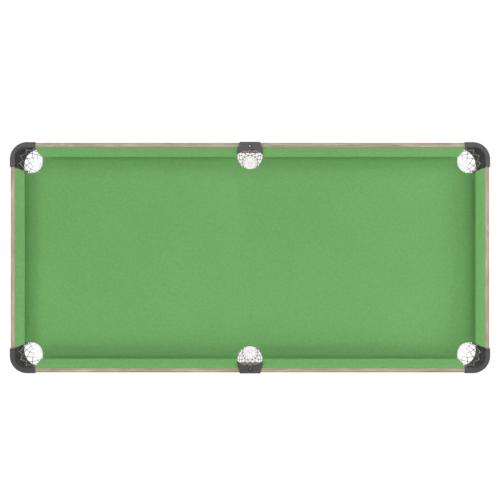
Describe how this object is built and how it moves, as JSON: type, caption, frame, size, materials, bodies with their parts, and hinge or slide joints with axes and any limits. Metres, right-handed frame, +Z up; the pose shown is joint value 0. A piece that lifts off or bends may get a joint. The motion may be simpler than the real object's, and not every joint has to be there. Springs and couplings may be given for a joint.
{
  "type": "six-pocket pool table",
  "caption": "Home pool table with a green cloth bed, cushions, wooden frame, moulded corner and side castings, net drop pockets and folding steel leg frames on levelling feet.",
  "frame": {"origin": "on the floor under the middle of the table", "axes": "+X along the table's length, +Y across its width, +Z up"},
  "size_m": [1.92, 0.9264, 0.7965],
  "materials": {
    "frame_wood": "grey-brown wood-grain foil, satin",
    "dark_casting": "dark grey moulded, fine texture",
    "green_cloth": "napped woven cloth",
    "panel_board": "raw fibreboard",
    "pine": "planed softwood",
    "cushion_rubber": "extruded",
    "net_cord": "braided cord",
    "black_wire": "black coated wire",
    "bright_screws": "bright zinc",
    "zinc_steel": "zinc plated, matt",
    "black_tube": "black powder coat",
    "black_plastic": "black moulded"
  },
  "bodies": {
    "table_top": {"back_frame_board": "frame_wood", "bed_cloth": "green_cloth", "bed_ledgers": "pine", "bed_panel": "panel_board", "corner_casting_back_left": "dark_casting", "corner_casting_back_right": "dark_casting", "corner_casting_front_left": "dark_casting", "corner_casting_front_right": "dark_casting", "corner_screws": "bright_screws", "cross_battens": "pine", "cushion_cover_back_left": "green_cloth", "cushion_cover_back_right": "green_cloth", "cushion_cover_front_left": "green_cloth", "cushion_cover_front_right": "green_cloth", "cushion_cover_left_end": "green_cloth", "cushion_cover_right_end": "green_cloth", "cushion_rubbers": "cushion_rubber", "cushion_subrails": "pine", "front_frame_board": "frame_wood", "left_frame_board": "frame_wood", "leg_bracket_left_back": "zinc_steel", "leg_bracket_left_front": "zinc_steel", "leg_bracket_right_back": "zinc_steel", "leg_bracket_right_front": "zinc_steel", "leg_pivot_bolts": "bright_screws", "leg_plank_left": "pine", "leg_plank_right": "pine", "pan_head_screws": "bright_screws", "pocket_hoop_back_left": "black_wire", "pocket_hoop_back_right": "black_wire", "pocket_hoop_back_side": "black_wire", "pocket_hoop_front_left": "black_wire", "pocket_hoop_front_right": "black_wire", "pocket_hoop_front_side": "black_wire", "pocket_net_back_left": "net_cord", "pocket_net_back_right": "net_cord", "pocket_net_back_side": "net_cord", "pocket_net_front_left": "net_cord", "pocket_net_front_right": "net_cord", "pocket_net_front_side": "net_cord", "right_frame_board": "frame_wood", "side_casting_back": "dark_casting", "side_casting_front": "dark_casting", "side_casting_screws": "bright_screws"},
    "right_leg": {"leg_frame_right": "black_tube", "leg_plugs_right": "black_plastic"},
    "left_leg": {"leg_frame_left": "black_tube", "leg_plugs_left": "black_plastic"},
    "foot_pad_left_back_body": {"foot_pad_left_back": "black_plastic"},
    "foot_pad_left_front_body": {"foot_pad_left_front": "black_plastic"},
    "foot_pad_right_back_body": {"foot_pad_right_back": "black_plastic"},
    "foot_pad_right_front_body": {"foot_pad_right_front": "black_plastic"},
    "foot_stud_left_back_body": {"foot_stud_left_back": "zinc_steel"},
    "foot_stud_left_front_body": {"foot_stud_left_front": "zinc_steel"},
    "foot_stud_right_back_body": {"foot_stud_right_back": "zinc_steel"},
    "foot_stud_right_front_body": {"foot_stud_right_front": "zinc_steel"},
    "knob_left_back": {"lock_knob_left_back": "black_plastic"},
    "knob_left_front": {"lock_knob_left_front": "black_plastic"},
    "knob_right_back": {"lock_knob_right_back": "black_plastic"},
    "knob_right_front": {"lock_knob_right_front": "black_plastic"}
  },
  "joints": [
    {"name": "right_leg_fold", "type": "hinge", "parent": "table_top", "child": "right_leg", "pos_m": [0.76, 0, 0.69], "axis": [0, 1, 0], "range_deg": [0, 96]},
    {"name": "left_leg_fold", "type": "hinge", "parent": "table_top", "child": "left_leg", "pos_m": [-0.76, 0, 0.69], "axis": [0, -1, 0], "range_deg": [0, 96]},
    {"name": "knob_right_back_turn", "type": "hinge", "parent": "right_leg", "child": "knob_right_back", "pos_m": [0.76282, 0.28, 0.66315], "axis": [0, -1, 0], "range_deg": [0, 360]},
    {"name": "foot_right_back_travel", "type": "slide", "parent": "right_leg", "child": "foot_pad_right_back_body", "axis": [0.1045, 0, -0.9945], "range_m": [0, 0.015]},
    {"name": "foot_right_back_screw", "type": "hinge", "parent": "foot_pad_right_back_body", "child": "foot_stud_right_back_body", "pos_m": [0.83158, 0.3, 0.009], "axis": [0.1045, 0, -0.9945], "range_deg": [-1, 3601]},
    {"name": "knob_right_front_turn", "type": "hinge", "parent": "right_leg", "child": "knob_right_front", "pos_m": [0.76282, -0.28, 0.66315], "axis": [0, 1, 0], "range_deg": [0, 360]},
    {"name": "foot_right_front_travel", "type": "slide", "parent": "right_leg", "child": "foot_pad_right_front_body", "axis": [0.1045, 0, -0.9945], "range_m": [0, 0.015]},
    {"name": "foot_right_front_screw", "type": "hinge", "parent": "foot_pad_right_front_body", "child": "foot_stud_right_front_body", "pos_m": [0.83158, -0.3, 0.009], "axis": [0.1045, 0, -0.9945], "range_deg": [-1, 3601]},
    {"name": "knob_left_back_turn", "type": "hinge", "parent": "left_leg", "child": "knob_left_back", "pos_m": [-0.76282, 0.28, 0.66315], "axis": [0, -1, 0], "range_deg": [0, 360]},
    {"name": "foot_left_back_travel", "type": "slide", "parent": "left_leg", "child": "foot_pad_left_back_body", "axis": [-0.1045, 0, -0.9945], "range_m": [0, 0.015]},
    {"name": "foot_left_back_screw", "type": "hinge", "parent": "foot_pad_left_back_body", "child": "foot_stud_left_back_body", "pos_m": [-0.83158, 0.3, 0.009], "axis": [-0.1045, 0, -0.9945], "range_deg": [-1, 3601]},
    {"name": "knob_left_front_turn", "type": "hinge", "parent": "left_leg", "child": "knob_left_front", "pos_m": [-0.76282, -0.28, 0.66315], "axis": [0, 1, 0], "range_deg": [0, 360]},
    {"name": "foot_left_front_travel", "type": "slide", "parent": "left_leg", "child": "foot_pad_left_front_body", "axis": [-0.1045, 0, -0.9945], "range_m": [0, 0.015]},
    {"name": "foot_left_front_screw", "type": "hinge", "parent": "foot_pad_left_front_body", "child": "foot_stud_left_front_body", "pos_m": [-0.83158, -0.3, 0.009], "axis": [-0.1045, 0, -0.9945], "range_deg": [-1, 3601]}
  ],
  "couplings": [
    {"joint": "foot_right_back_screw", "follows": "foot_right_back_travel", "rad_per_m": 4188.8},
    {"joint": "foot_right_front_screw", "follows": "foot_right_front_travel", "rad_per_m": 4188.8},
    {"joint": "foot_left_back_screw", "follows": "foot_left_back_travel", "rad_per_m": 4188.8},
    {"joint": "foot_left_front_screw", "follows": "foot_left_front_travel", "rad_per_m": 4188.8}
  ]
}
